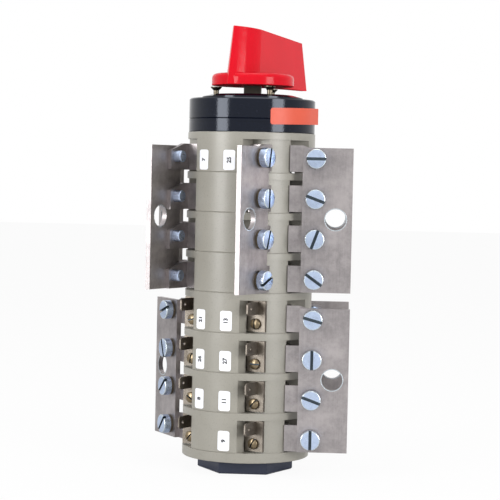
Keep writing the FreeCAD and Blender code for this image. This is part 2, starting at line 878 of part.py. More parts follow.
def make_clamp_screw():
    """Short slotted screw of a free terminal, standing on its plate."""
    body = new_body("clamp_screw_master")
    face = "pocket_floor + terminal_thickness"
    head = new_sketch(body, "YZ", height=face)
    add_circle(head, "clamp_screw_offset", "clamp_screw_height", "clamp_head_radius")
    pad(body, head, "clamp_head_height")
    slot = new_sketch(body, "YZ", height=f"{face} + clamp_head_height")
    reach, side = "clamp_head_radius", "clamp_slot_width / 2"
    add_rectangle(
        slot,
        f"clamp_screw_offset - {reach}",
        f"clamp_screw_offset + {reach}",
        f"clamp_screw_height - {side}",
        f"clamp_screw_height + {side}",
    )
    pocket(body, slot, "clamp_slot_depth", reversed_way=False)
    return body


def make_busbar(label):
    """Flat busbar with four screw holes and one large connection hole."""
    body = new_body(label)
    length = f"{STAGES_PER_GROUP - 1} * stage_pitch + bar_top_margin + bar_foot_margin"
    plate = new_sketch(body, "XZ", height="-strap_outer_face - bar_thickness")
    add_rectangle(plate, "bar_start", "bar_start + bar_width", "0", length)
    hole_height = f"bar_foot_margin + {(STAGES_PER_GROUP - 1) / 2} * stage_pitch"
    add_circle(plate, "bar_hole_distance", hole_height, "bar_hole_radius")
    for number in range(STAGES_PER_GROUP):
        height = f"bar_foot_margin + {number} * stage_pitch"
        add_circle(plate, "bar_screw_distance", height, "bar_screw_hole_radius")
    pad(body, plate, "bar_thickness")
    return body


def make_busbar_screw():
    """Slotted cheese-head screw with its captive spring washer."""
    body = new_body("busbar_screw_master")
    profile = new_sketch(body, "XZ")
    seat = "strap_outer_face + bar_thickness"
    washer = f"{seat} + busbar_washer_height"
    top = f"{washer} + busbar_head_height"
    add_outline(profile, [
        ("0", "busbar_screw_end"),
        ("busbar_screw_radius", "busbar_screw_end"),
        ("busbar_screw_radius", seat),
        ("busbar_washer_radius", seat),
        ("busbar_washer_radius", washer),
        ("busbar_head_radius", washer),
        ("busbar_head_radius", top),
        ("0", top),
    ])
    turn(body, profile)
    slot = new_sketch(body, height=top)
    reach, side = "busbar_head_radius", "screw_slot_width / 2"
    add_rectangle(slot, f"-{reach}", reach, f"-{side}", side)
    pocket(body, slot, "screw_slot_depth", reversed_way=False)
    return body


def place_busbar_screws(group, screw):
    """One screw for every strap of a group, each on its busbar's outer face."""
    copies = []
    for terminal, (wall, side) in TERMINALS.items():
        if group == "lower" and terminal in FREE_TERMINALS:
            continue
        angle = WALL_ANGLES[wall]
        cosine, sine = math.cos(math.radians(angle)), math.sin(math.radians(angle))
        lie = FreeCAD.Rotation(Vector(1, 0, 0), -90 * side)
        spin = FreeCAD.Rotation(UP, angle)
        for number in range(STAGES_PER_GROUP):
            copy = link(
                screw,
                0,
                f"bar_screw_distance * {cosine:.9f}",
                f"bar_screw_distance * {sine:.9f}",
                f"{group_foot(group)} + screw_height + {number} * stage_pitch",
            )
            copy.Placement.Rotation = spin.multiply(lie)
            copies.append(copy)
    return gather(f"{group}_busbar_screws", copies)


def place_terminals(group, terminals, sources, label):
    """One strap or plate in every stage of a group for each terminal named."""
    copies = []
    for terminal in terminals:
        wall, side = TERMINALS[terminal]
        for number in range(STAGES_PER_GROUP):
            foot = f"{group_foot(group)} + strap_foot + {number} * stage_pitch"
            copies.append(link(sources[side], WALL_ANGLES[wall], z=foot))
    return gather(label, copies)


def make_handle():
    """Round disc with a tapered pointer drawn up to a sloping top."""
    body = new_body("handle_master")
    low = new_sketch(body)
    add_teardrop(low, "0", "0", "0")
    high = new_sketch(body, height="pointer_tail_height")
    add_teardrop(high, "pointer_draft_tail", "pointer_draft_tip", "pointer_draft_side")
    loft = body.newObject("PartDesign::AdditiveLoft", "handle_pointer")
    loft.Profile = low
    loft.Sections = [high]
    loft.Ruled = True
    body.Tip = loft
    slope = new_sketch(body, "XZ", height="-disc_radius")
    add_outline(slope, [
        ("-pointer_tail - edge_bevel", "pointer_tail_height"),
        ("pointer_reach + edge_bevel", "pointer_tip_height"),
        ("pointer_reach + edge_bevel", "pointer_tail_height + edge_bevel"),
        ("-pointer_tail - edge_bevel", "pointer_tail_height + edge_bevel"),
    ])
    pocket(body, slope, "2 * disc_radius")
    rim = new_sketch(body)
    add_circle(rim, "0", "0", "disc_radius - disc_round")
    pad(body, rim, "disc_height")
    ring = new_sketch(body, "XZ")
    add_rounded_rim(ring)
    turn(body, ring)
    socket = new_sketch(body, turned=-value("pointer_angle"))
    side = "shaft_width / 2 + shaft_gap"
    add_rectangle(socket, f"-({side})", side, f"-({side})", side)
    pocket(body, socket, "handle_bore_depth")
    bore = new_sketch(body)
    add_circle(bore, "0", "0", "handle_screw_radius + seat_gap")
    pocket(body, bore, "pointer_tail_height")
    well = new_sketch(body, height="handle_seat_height")
    add_circle(well, "0", "0", "handle_screw_head_radius + running_gap")
    pocket(body, well, "pointer_tail_height - handle_seat_height")
    turned = link(body, value("pointer_angle"), z=HANDLE_FOOT)
    return gather("handle", [turned])


def add_rounded_rim(sketch):
    """Profile of the disc's rim, its top edge a quarter circle."""
    inner = value("disc_radius - disc_round - edge_bevel")
    outer = value("disc_radius")
    radius = value("disc_round")
    top = value("disc_height")
    points = [
        Vector(inner, 0, 0),
        Vector(outer, 0, 0),
        Vector(outer, top - radius, 0),
        Vector(outer - radius, top, 0),
        Vector(inner, top, 0),
    ]
    sketch.addGeometry(Part.LineSegment(points[0], points[1]), False)
    sketch.addGeometry(Part.LineSegment(points[1], points[2]), False)
    centre = Vector(outer - radius, top - radius, 0)
    circle = Part.Circle(centre, UP, radius)
    sketch.addGeometry(Part.ArcOfCircle(circle, 0, math.pi / 2), False)
    sketch.addGeometry(Part.LineSegment(points[3], points[4]), False)
    sketch.addGeometry(Part.LineSegment(points[4], points[0]), False)
    for edge in range(5):
        sketch.addConstraint(Sketcher.Constraint("Coincident", edge, 2, (edge + 1) % 5, 1))
    bind(sketch, "DistanceX", 0, 1, "disc_radius - disc_round - edge_bevel")
    bind(sketch, "DistanceY", 0, 1, "0")
    bind(sketch, "DistanceX", 1, 1, "disc_radius")
    bind(sketch, "DistanceY", 1, 1, "0")
    bind(sketch, "DistanceX", 2, 3, "disc_radius - disc_round")
    bind(sketch, "DistanceY", 2, 3, "disc_height - disc_round")
    bind(sketch, "DistanceX", 2, 1, "disc_radius")
    bind(sketch, "DistanceY", 2, 1, "disc_height - disc_round")
    bind(sketch, "DistanceX", 2, 2, "disc_radius - disc_round")
    bind(sketch, "DistanceX", 3, 2, "disc_radius - disc_round - edge_bevel")
    bind(sketch, "DistanceY", 3, 2, "disc_height")


def add_teardrop(sketch, tail_draft, tip_draft, side_draft):
    """Plan of the pointer: two arcs meet at the tail and run on to the tip.

    Each arc starts at the tail on the centre line and ends where it is
    widest, and a straight line goes on from there to the tip.
    """
    tail = f"pointer_tail - {tail_draft}"
    reach = f"pointer_reach - {tip_draft}"
    half = f"pointer_half_width - {side_draft}"
    tip = f"pointer_tip_half_width - {side_draft} / 3"
    radius = "pointer_side_radius"
    drop = value(radius) - value(half)
    run = math.sqrt(value(radius) ** 2 - drop ** 2)
    widest = run - value(tail)
    for side in (1, -1):
        centre = Vector(widest, -side * drop, 0)
        start = math.atan2(side * drop, -run)
        circle = Part.Circle(centre, UP, value(radius))
        if side > 0:
            arc = Part.ArcOfCircle(circle, math.pi / 2, start)
            tail_end, wide_end = 2, 1
        else:
            arc = Part.ArcOfCircle(circle, start, -math.pi / 2)
            tail_end, wide_end = 1, 2
        index = sketch.addGeometry(arc, False)
        wide = Vector(widest, side * value(half), 0)
        end = Vector(value(reach), side * value(tip), 0)
        line = sketch.addGeometry(Part.LineSegment(wide, end), False)
        sketch.addConstraint(Sketcher.Constraint("Coincident", index, wide_end, line, 1))
        bind(sketch, "DistanceX", index, tail_end, f"-({tail})")
        bind(sketch, "DistanceY", index, tail_end, "0")
        constraint = sketch.addConstraint(Sketcher.Constraint("Radius", index, value(radius)))
        sketch.setExpression(f"Constraints[{constraint}]", cell(radius))
        sign = "" if side > 0 else "-"
        flip = "-" if side > 0 else ""
        bind(sketch, "DistanceY", index, 3, f"{flip}({radius} - ({half}))")
        sketch.addConstraint(Sketcher.Constraint("Vertical", index, wide_end, index, 3))
        bind(sketch, "DistanceX", line, 2, reach)
        bind(sketch, "DistanceY", line, 2, f"{sign}({tip})")
    across = sketch.addGeometry(Part.LineSegment(
        Vector(value(reach), value(tip), 0),
        Vector(value(reach), -value(tip), 0),
    ), False)
    sketch.addConstraint(Sketcher.Constraint("Coincident", 1, 2, across, 1))
    sketch.addConstraint(Sketcher.Constraint("Coincident", 3, 2, across, 2))


def make_handle_screw():
    """Screw that holds the handle down on the shaft."""
    body = new_body("handle_screw_master")
    profile = new_sketch(body, "XZ")
    seat = "handle_seat_height"
    top = f"{seat} + handle_screw_head_height"
    end = "handle_bore_depth - handle_screw_length + 4 * seat_gap"
    add_outline(profile, [
        ("0", end),
        ("handle_screw_radius", end),
        ("handle_screw_radius", seat),
        ("handle_screw_head_radius", seat),
        ("handle_screw_head_radius", top),
        ("0", top),
    ])
    turn(body, profile)
    slot = new_sketch(body, height=top)
    reach, side = "handle_screw_head_radius", "clamp_slot_width / 2"
    add_rectangle(slot, f"-{reach}", reach, f"-{side}", side)
    pocket(body, slot, "clamp_slot_depth", reversed_way=False)
    return gather("handle_screw", [link(body, value("pointer_angle"), z=HANDLE_FOOT)])


def make_carriers(parts):
    """Plungers, bridges and springs of each wall, four stages to a carrier."""
    bridge_foot = "plunger_foot + (plunger_height - bridge_height) / 2"
    masters = {
        "plungers": (make_plunger(), "plunger_foot"),
        "bridges": (make_bridge(), bridge_foot),
        "springs": (make_contact_spring(), f"{bridge_foot} + bridge_thickness"),
    }
    for group in GROUPS:
        for wall, angle in WALL_ANGLES.items():
            for name, (master, foot) in masters.items():
                copies = []
                for number in range(STAGES_PER_GROUP):
                    height = f"{group_foot(group)} + {foot} + {number} * stage_pitch"
                    copies.append(link(master, angle, z=height))
                parts.append(gather(f"{group}_{name}_{wall}", copies))


def make_parts():
    """Build every sub-part and return them in the order of the stack."""
    parts = [make_end_cap(), make_end_cover()]
    stage = make_stage()
    for number in range(1, 2 * STAGES_PER_GROUP + 1):
        parts.append(gather(f"stage_housing_{number}", [link(stage, z=stage_foot(number))]))
    parts += [make_latch_base(), make_latch_housing()]
    parts += [make_tie_bolts(), make_inserts(), make_mounting_screws()]

    strap = make_strap()
    straps = {1: strap, -1: mirrored(strap, "strap_twin")}
    plate = make_free_terminal()
    plates = {1: plate, -1: mirrored(plate, "free_terminal_twin")}
    clamp = make_clamp_screw()
    clamps = {1: clamp, -1: mirrored(clamp, "clamp_screw_twin")}
    bound = [name for name in TERMINALS if name not in FREE_TERMINALS]
    parts.append(place_terminals("upper", TERMINALS, straps, "upper_straps"))
    parts.append(place_terminals("lower", bound, straps, "lower_straps"))
    parts.append(place_terminals("lower", FREE_TERMINALS, plates, "free_terminals"))
    parts.append(place_terminals("lower", FREE_TERMINALS, clamps, "clamp_screws"))

    bar = make_busbar("busbar_master")
    bars = {1: bar, -1: mirrored(bar, "busbar_twin")}
    for group in GROUPS:
        for terminal, (wall, side) in TERMINALS.items():
            if group == "lower" and terminal in FREE_TERMINALS:
                continue
            foot = f"{group_foot(group)} + screw_height - bar_foot_margin"
            copy = link(bars[side], WALL_ANGLES[wall], z=foot)
            parts.append(gather(f"{group}_busbar_{terminal}", [copy]))
    screw = make_busbar_screw()
    for group in GROUPS:
        parts.append(place_busbar_screws(group, screw))

    parts.append(make_shaft())
    for group, way in zip(GROUPS, (-1, 1)):
        cam = make_cam(f"{group}_cam_master", way)
        copies = []
        for number in range(STAGES_PER_GROUP):
            copies.append(link(cam, z=f"{group_foot(group)} + {number} * stage_pitch"))
        parts.append(gather(f"{group}_cams", copies))
    parts.append(make_star_wheel())
    slider, spring = make_slider(), make_latch_spring()
    height = f"{LATCH_BODY_FOOT} - slider_height / 2"
    parts.append(gather("latch_slider_front", [link(slider, -90, z=height)]))
    parts.append(gather("latch_slider_rear", [link(slider, 90, z=height)]))
    parts.append(gather("latch_springs", [link(spring, way, z=height) for way in (-90, 90)]))
    make_carriers(parts)
    parts += [make_handle(), make_handle_screw()]
    doc.recompute()
    return parts


def check_document():
    """Stop if any object of the document failed to build."""
    for item in doc.Objects:
        if "Invalid" in item.State or "Error" in item.State:
            raise RuntimeError(f"{item.Label} failed: {item.State}")


def write_parts(parts):
    """Write one STEP file for each sub-part."""
    os.makedirs("parts", exist_ok=True)
    for part in parts:
        shape = part.Shape
        if shape.isNull() or not shape.isValid():
            raise RuntimeError(f"{part.Label} has no valid shape")
        shape.exportStep(f"parts/{part.Label}.step")
        print(part.Label, len(shape.Solids), round(shape.Volume, 1))


subparts = make_parts()
check_document()
write_parts(subparts)
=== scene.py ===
import json
import math

import bmesh
import bpy
import numpy as np
from bpy.props import FloatProperty, FloatVectorProperty, PointerProperty
from mathutils import Matrix, Vector


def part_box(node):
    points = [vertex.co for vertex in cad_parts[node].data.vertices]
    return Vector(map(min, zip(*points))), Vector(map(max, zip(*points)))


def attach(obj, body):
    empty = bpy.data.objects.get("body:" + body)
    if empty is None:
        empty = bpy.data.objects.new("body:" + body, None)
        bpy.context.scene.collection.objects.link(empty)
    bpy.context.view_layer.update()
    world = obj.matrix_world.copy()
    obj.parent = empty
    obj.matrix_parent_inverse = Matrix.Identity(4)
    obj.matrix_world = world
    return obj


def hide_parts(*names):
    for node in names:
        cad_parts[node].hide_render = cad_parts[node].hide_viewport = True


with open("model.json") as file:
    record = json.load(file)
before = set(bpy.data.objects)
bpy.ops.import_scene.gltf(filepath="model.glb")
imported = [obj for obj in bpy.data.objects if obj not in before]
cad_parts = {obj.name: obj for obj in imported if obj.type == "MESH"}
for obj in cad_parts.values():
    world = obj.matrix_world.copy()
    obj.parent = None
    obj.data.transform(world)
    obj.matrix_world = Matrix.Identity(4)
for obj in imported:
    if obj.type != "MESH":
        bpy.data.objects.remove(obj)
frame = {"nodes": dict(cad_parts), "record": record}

# Dress of a cam switch: eight contact stages, a latch housing and a pointer
# handle. Metres, +Z up, the shaft's axis on Z, the end cap's foot at zero.

bl_info = {
    "name": "Cam switch dress",
    "version": (1, 0, 0),
    "blender": (4, 5, 0),
    "location": "View3D > Sidebar > Cam switch",
    "description": "Screws, stickers, finishes and studio of a cam switch",
    "category": "Object",
}

MM = 0.001
WELD = 0.0001 * MM
BODY = "switch_body"

# Walls of a stage by the angle of their middle, and each terminal's wall and side
WALL_ANGLES = {"a": 240, "b": 0, "c": 120}
TERMINALS = {
    "t1": ("a", 1),
    "t2": ("b", -1),
    "t3": ("b", 1),
    "t4": ("c", -1),
    "t5": ("c", 1),
    "t6": ("a", -1),
}
FREE_TERMINALS = ("t1", "t6")
STAGES_PER_GROUP = 4

# Places read from the frame
STAGE_LOW, STAGE_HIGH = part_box("stage_housing_8")
STAGE_PITCH = STAGE_HIGH.z - STAGE_LOW.z
STAGE_RADIUS = STAGE_HIGH.x
LATCH_LOW, LATCH_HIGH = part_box("latch_housing")
BAR_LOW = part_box("upper_busbar_t2")[0]
BAR_FACE = -BAR_LOW.y
HANDLE_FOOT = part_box("handle")[0].z
PANEL = "Cam switch"

# Kinds of a screw head's faces, each with a material of its own; the slot's faces take a darker one
# as painted shade
PLAIN, SLOT, RIM = 0, 1, 2

# Shares of a screw head's or washer's own sizes
ROUNDING_STEPS = 4
MOON_OVERLAP = 0.1
CROWN_INSET = 0.45
CLAMP_SLOT_DEPTH = 0.45
CLAMP_CHAMFER = 0.25
WASHER_THICKNESS = 0.72
WASHER_SPLIT = math.radians(12)
WASHER_TURN_STEP = 40

# A busbar screw's end: radii at its tip and above, and the height of its bevel
SHANK_TIP = 2.6 * MM
SHANK_RADIUS = 2.9 * MM
SHANK_BEVEL = 0.3 * MM

# Small distances that keep thin pieces off what they lie on
RIM_GAP = 0.02 * MM
STICKER_GAP = 0.02 * MM
LABEL_GAP = 0.03 * MM

# The bare label's start and end round the latch housing, and its corner radius
LABEL_START, LABEL_END = math.radians(-71), math.radians(-20)
LABEL_CORNER = 1.2 * MM

# Points along and across the stickers, and along, across and in a corner of the label
STICKER_ROWS, STICKER_COLUMNS = 41, 13
LABEL_COLUMNS, LABEL_ROWS, LABEL_CORNER_STEPS = 60, 9, 8

# Digits: outline's growth as a share of their size, and steps of each curve
DIGIT_BOLDNESS = 0.035
DIGIT_STEPS = 3

# Shading: the most corners of a smooth face, and the turn from which an edge is sharp
SMOOTH_CORNERS = 4
SHARP_TURN = math.radians(35)

# Plated and turned metals: colour on a screen and least roughness
METALS = {
    "dark_steel": ((72, 68, 62), 0.3),
    "contact_copper": ((188, 124, 92), 0.3),
    "spring_steel": ((150, 152, 156), 0.28),
    # Painted shade: the screw slots' faces, darker than the metal round them
    "slot_painted_shade": ((84, 94, 102), 0.5),
    # Painted highlight: a brighter, glossier zinc on the busbar screws' rounding and the lug holes'
    # edges
    "painted_highlight_rim": ((206, 216, 222), 0.2),
}
CAM_TONE = (206, 200, 184)
DUST_TONE = (44, 48, 58)
BLUISH_GLOSS = (0.82, 0.88, 1, 1)

# Where the handle's underside ends and its glossy side begins, over its foot
MATT_END = 0.1 * MM
GLOSS_START = 0.5 * MM

# Studio: the floor's reach, shade and share of plain white, the overhead lamp, the film
FLOOR_REACH = 4.0
FLOOR_SHADE = 0.82
FLOOR_GLOW = 0.94
TOP_LAMP_SIZE = 0.8
TOP_LAMP_SPOT = (0, -0.1, 1.1)
FILM_WIDTH = 36
CLIP_NEAR, CLIP_FAR = 0.01, 50

# Nodes whose finish departs from their slot's plain one
OWN_FINISHES = {"end_cap": "cap_plastic", "free_terminals": "aged_tin"}


def paint(red, green, blue):
    """A colour seen as 0 to 255 on a screen, as the linear light that it sends."""
    shares = np.array((red, green, blue)) / 255
    light = np.where(shares <= 0.04045, shares / 12.92, ((shares + 0.055) / 1.055) ** 2.4)
    return tuple(float(part) for part in light)


def length(name, description, default):
    """A length that the user can change, in metres."""
    return FloatProperty(
        name=name, description=description, default=default, min=0, unit="LENGTH", precision=5
    )


def bearing(name, description, default):
    """An angle that the user can change, given in degrees."""
    return FloatProperty(
        name=name, description=description, default=math.radians(default), subtype="ANGLE"
    )


def measure(name, description, default):
    """A plain number that the user can change."""
    return FloatProperty(name=name, description=description, default=default, min=0)


def colour(name, description, *screen):
    """A colour that the user can change."""
    return FloatVectorProperty(
        name=name,
        description=description,
        default=paint(*screen),
        min=0,
        max=1,
        size=3,
        subtype="COLOR",
    )


class ScrewSizes(bpy.types.PropertyGroup):
    """Sizes of the slotted screws."""

    head_radius: length("Head radius", "Radius of a busbar screw's head", 4.9 * MM)
    head_height: length("Head height", "Height of a busbar screw's head", 3.7 * MM)
    head_chamfer: length("Head chamfer", "Bevel round a busbar screw's head", 0.45 * MM)
    slot_width: length("Slot width", "Width of a busbar screw's slot", 1.5 * MM)
    slot_depth: length("Slot depth", "Depth of a busbar screw's slot", 1.6 * MM)
    shank_end: length("Shank end", "From the shaft's plane to a busbar screw's end", 19.0 * MM)
    washer_radius: length("Washer radius", "Outer radius of a spring washer", 4.7 * MM)
    washer_height: length("Washer height", "Height of a spring washer with its rise", 1.3 * MM)
    washer_bore: length("Washer bore", "Inner radius of a spring washer", 3.1 * MM)
    from_bar_edge: length(
        "Distance from edge", "From a busbar's inner edge to its screws", 6.6 * MM
    )
    from_bar_foot: length(
        "Distance from foot", "From a busbar's foot to its lowest screw", 6.5 * MM
    )
    rim_width: length("Rim width", "Width of the polished edge of a lug hole", 0.4 * MM)
    rim_height: length("Rim height", "Height of the polished edge of a lug hole", 0.06 * MM)
    clamp_radius: length("Clamp head radius", "Radius of a free terminal's screw head", 2.75 * MM)
    clamp_height: length("Clamp head height", "Height of a free terminal's screw head", 2.0 * MM)
    clamp_out: length("Clamp distance", "From the shaft to a clamp screw along its wall", 22.0 * MM)
    clamp_aside: length("Clamp offset", "From the wall's middle to a clamp screw", 19.0 * MM)
    clamp_slot: length("Clamp slot", "Width of a free terminal's screw slot", 0.75 * MM)


class StickerSizes(bpy.types.PropertyGroup):
    """Sizes of the number stickers and of the bare label."""

    width: length("Width", "Width of a number sticker round the wall", 6.2 * MM)
    height: length("Height", "Height of a number sticker", 10.0 * MM)
    corner: length("Corner", "Corner radius of a number sticker", 1.1 * MM)
    thickness: length("Thickness", "Thickness of a sticker", 0.12 * MM)
    above_seam: length(
        "Above the seam", "From a stage's lower seam to a sticker's middle", 5.9 * MM
    )
    digit_size: length("Digit size", "Height of the digits' type", 3.0 * MM)
    digit_depth: length("Digit depth", "How far the digits' ink stands off a sticker", 0.09 * MM)
    label_height: length("Label height", "Height of the bare label", 8.2 * MM)
    label_middle: length(
        "Label middle", "From the latch housing's foot to the label's middle", 1.2 * MM
    )
    label_rise: length(
        "Label rise", "How much higher the label's end stands than its start", 1.0 * MM
    )
    label_tail: length("Label tail", "Length of the label's end that stands off", 10.0 * MM)


class Finishes(bpy.types.PropertyGroup):
    """Colours of the finishes."""

    red: colour("Red plastic", "Colour of the handle", 208, 12, 32)
    black: colour("Black plastic", "Colour of the latch housing", 8, 12, 24)
    cap: colour("Cap", "Colour of the end cap", 56, 60, 74)
    beige: colour("Beige plastic", "Colour of the stages", 147, 144, 135)
    tin: colour("Tin", "Colour of the tinned copper", 172, 166, 166)
    tin_shade: colour("Tin, shaded", "Darker patches of the tinned copper", 126, 122, 123)
    aged_tin: colour("Aged tin", "Colour of the free terminals", 134, 127, 118)
    aged_shade: colour("Aged tin, shaded", "Darker patches of the free terminals", 80, 73, 66)
    zinc: colour("Zinc", "Colour of the busbar screws", 194, 210, 236)
    yellow: colour("Yellow zinc", "Colour of the spring washers", 112, 104, 90)
    brass: colour("Brass", "Colour of the clamp screws", 128, 114, 92)
    white: colour("Sticker", "Colour of the number stickers", 240, 241, 246)
    ink: colour("Ink", "Colour of the digits", 18, 20, 26)
    orange: colour("Label", "Colour of the bare label", 208, 84, 60)


class Studio(bpy.types.PropertyGroup):
    """Camera and lamps."""

    azimuth: bearing("Azimuth", "Camera's turn round the switch", 2.62)
    roll: bearing("Roll", "Camera's turn about its line of sight", 1.22)
    distance: length("Distance", "From the shaft's axis to the camera", 0.8921)
    camera_height: length("Height", "Camera's height over the floor", 0.1516)
    aim_height: length("Aim", "Height at which the camera looks", 0.11244)
    aim_side: length("Aim aside", "How far beside the axis the camera looks", 0.00034)
    lens: FloatProperty(
        name="Lens", description="Focal length in millimetres", default=125.1, min=1
    )
    left_lamp: bearing("Left lamp", "Left lamp's turn from the camera", -54.6)
    right_lamp: bearing("Right lamp", "Right lamp's turn from the camera", 47.2)
    lamp_distance: length("Lamp distance", "From the axis to a lamp", 0.9)
    lamp_width: length("Lamp width", "Width of a strip lamp", 0.34)
    lamp_height: length("Lamp height", "Height of a strip lamp", 0.4)
    lamp_middle: length("Lamp middle", "Height of a strip lamp's middle", 0.24)
    lamp_power: measure("Lamp power", "Power of each strip lamp in watts", 5)
    top_power: measure("Top power", "Power of the overhead lamp in watts", 5)
    fill: measure("Fill", "Strength of the room's even light", 0.42)


class Wire:
    """A number in a material: a plain number plus, minus or times a wire adds a Math node."""

    def __init__(self, finish, socket):
        self.finish = finish
        self.socket = socket

    def combine(self, operation, first, second):
        """Join two values by one Math node."""
        node = self.finish.node("ShaderNodeMath", {"operation": operation}, {0: first, 1: second})
        return Wire(self.finish, node.outputs[0])

    def __radd__(self, other):
        return self.combine("ADD", other, self)

    def __rsub__(self, other):
        return self.combine("SUBTRACT", other, self)

    def __rmul__(self, other):
        return self.combine("MULTIPLY", other, self)


def finish_name(name):
    """A finish's own name, apart from the frame's plain material of that slot."""
    return f"{name}_finish"


class Finish:
    """One material under construction, with a principled shader at its end."""

    def __init__(self, name, **constants):
        self.material = bpy.data.materials.new(finish_name(name))
        self.material.use_nodes = True
        self.tree = self.material.node_tree
        self.tree.nodes.clear()
        self.shader = self.node("ShaderNodeBsdfPrincipled")
        for socket, amount in constants.items():
            self.shader.inputs[socket.replace("_", " ")].default_value = amount
        self.node("ShaderNodeOutputMaterial", {}, {"Surface": self.shader.outputs[0]})
        self.place = self.node("ShaderNodeTexCoord").outputs["Object"]

    def node(self, kind, settings=None, inputs=None):
        """Add a node: its type, then its settings, then its values or links."""
        made = self.tree.nodes.new(kind)
        for name, setting in (settings or {}).items():
            setattr(made, name, setting)
        for name, given in (inputs or {}).items():
            self.feed(made.inputs[name], given)
        return made

    def feed(self, socket, given):
        """Link a wire or a socket, or set a plain value."""
        if isinstance(given, Wire):
            given = given.socket
        if isinstance(given, bpy.types.NodeSocket):
            self.tree.links.new(given, socket)
        elif socket.type == "RGBA":
            socket.default_value = (*given, 1)
        else:
            socket.default_value = given

    def set(self, socket, given):
        """Feed one of the shader's own sockets."""
        self.feed(self.shader.inputs[socket], given)

    def noise(self, scale, detail=3, roughness=0.5, stretch=(1, 1, 1)):
        """Cloudy noise in the object's own space, stretched along its axes."""
        mapping = self.node("ShaderNodeMapping", {}, {"Vector": self.place, "Scale": stretch})
        inputs = {"Vector": mapping.outputs[0], "Scale": scale}
        inputs |= {"Detail": detail, "Roughness": roughness}
        return Wire(self, self.node("ShaderNodeTexNoise", {}, inputs).outputs["Fac"])

    def height(self):
        """Height over the floor, from the object's own space."""
        parts = self.node("ShaderNodeSeparateXYZ", {}, {"Vector": self.place})
        return Wire(self, parts.outputs["Z"])

    def between(self, wire, low, high):
        """Stretch the part of a wire between two levels to run from 0 to 1."""
        inputs = {"Value": wire, "From Min": low, "From Max": high}
        stretched = self.node("ShaderNodeMapRange", {"interpolation_type": "SMOOTHSTEP"}, inputs)
        return Wire(self, stretched.outputs[0])

    def blend(self, mask, first, second):
        """Mix two colours by a mask."""
        mixed = self.node("ShaderNodeMix", {"data_type": "RGBA"}, {0: mask, 6: first, 7: second})
        return mixed.outputs[2]

    def bump(self, height, distance, strength=1.0):
        """Raise the surface by a height field."""
        inputs = {"Height": height, "Distance": distance, "Strength": strength}
        self.set("Normal", self.node("ShaderNodeBump", {}, inputs).outputs[0])


def darker(tone, share):
    """A colour at a share of its light."""
    return tuple(part * share for part in tone)


def red_plastic(look):
    """Glossy thermoplastic with the faintest ripple, matt on the underside."""
    finish = Finish("red_plastic", Specular_IOR_Level=0.13)
    upper = finish.between(finish.height(), HANDLE_FOOT + MATT_END, HANDLE_FOOT + GLOSS_START)
    finish.set("Roughness", 0.85 - 0.71 * upper)
    grain = finish.noise(scale=60, detail=2)
    finish.set("Base Color", finish.blend(grain, look.red, darker(look.red, 0.9)))
    finish.bump(finish.noise(scale=180, detail=2), distance=0.00006)
    return finish.material


def black_plastic(name, tone):
    """Dark bluish moulding with a satin gloss and a little dust."""
    finish = Finish(name, Specular_IOR_Level=0.27, Specular_Tint=BLUISH_GLOSS)
    dust = finish.between(finish.noise(scale=900, detail=4, roughness=0.7), low=0.6, high=0.8)
    finish.set("Base Color", finish.blend(dust, tone, paint(*DUST_TONE)))
    finish.set("Roughness", 0.08 + 0.05 * finish.noise(scale=120, detail=3))
    finish.bump(finish.noise(scale=1500, detail=2), distance=0.00002)
    return finish.material


def beige_plastic(look):
    """Matt phenolic moulding, cloudy and finely grained."""
    finish = Finish("beige_plastic", Specular_IOR_Level=0.4)
    cloud = finish.noise(scale=55, detail=4, roughness=0.6)
    speck = finish.between(finish.noise(scale=1600, detail=2), low=0.55, high=0.75)
    body = finish.blend(cloud, darker(look.beige, 0.88), darker(look.beige, 1.1))
    finish.set("Base Color", finish.blend(0.35 * speck, body, darker(look.beige, 0.6)))
    finish.set("Roughness", 0.26 + 0.12 * finish.noise(scale=300, detail=3))
    finish.bump(finish.noise(scale=1400, detail=2), distance=0.00003)
    return finish.material


def tinned_copper(name, bright, shade):
    """Tinned plate: mottled patches, rolling marks along its height and fine scratches."""
    finish = Finish(name, Metallic=1.0)
    patch = finish.between(finish.noise(scale=90, detail=8, roughness=0.75), low=0.3, high=0.7)
    rolling = finish.noise(scale=900, detail=4, roughness=0.7, stretch=(1, 1, 0.04))
    tone = finish.blend(patch, shade, bright)
    finish.set("Base Color", finish.blend(0.5 * rolling, tone, darker(bright, 1.25)))
    finish.set("Roughness", 0.3 + 0.22 * finish.noise(scale=420, detail=4, roughness=0.7))
    scratches = finish.noise(scale=700, detail=4, roughness=0.7, stretch=(1, 1, 0.25))
    finish.bump(scratches, distance=0.00005)
    return finish.material


def plated_steel(name, tone, roughness):
    """Zinc plate over turned steel, slightly uneven in gloss and tone."""
    finish = Finish(name, Metallic=1.0)
    cloud = finish.noise(scale=500, detail=4)
    finish.set("Base Color", finish.blend(cloud, darker(tone, 0.8), darker(tone, 1.12)))
    finish.set("Roughness", roughness + 0.14 * finish.noise(scale=900, detail=3))
    finish.bump(finish.noise(scale=2200, detail=2), distance=0.00002)
    return finish.material


def paper(name, tone):
    """Coated paper or film."""
    finish = Finish(name, Specular_IOR_Level=0.4)
    cloud = finish.noise(scale=400, detail=3)
    finish.set("Base Color", finish.blend(cloud, tone, darker(tone, 0.95)))
    finish.set("Roughness", 0.4 + 0.1 * finish.noise(scale=700, detail=2))
    return finish.material


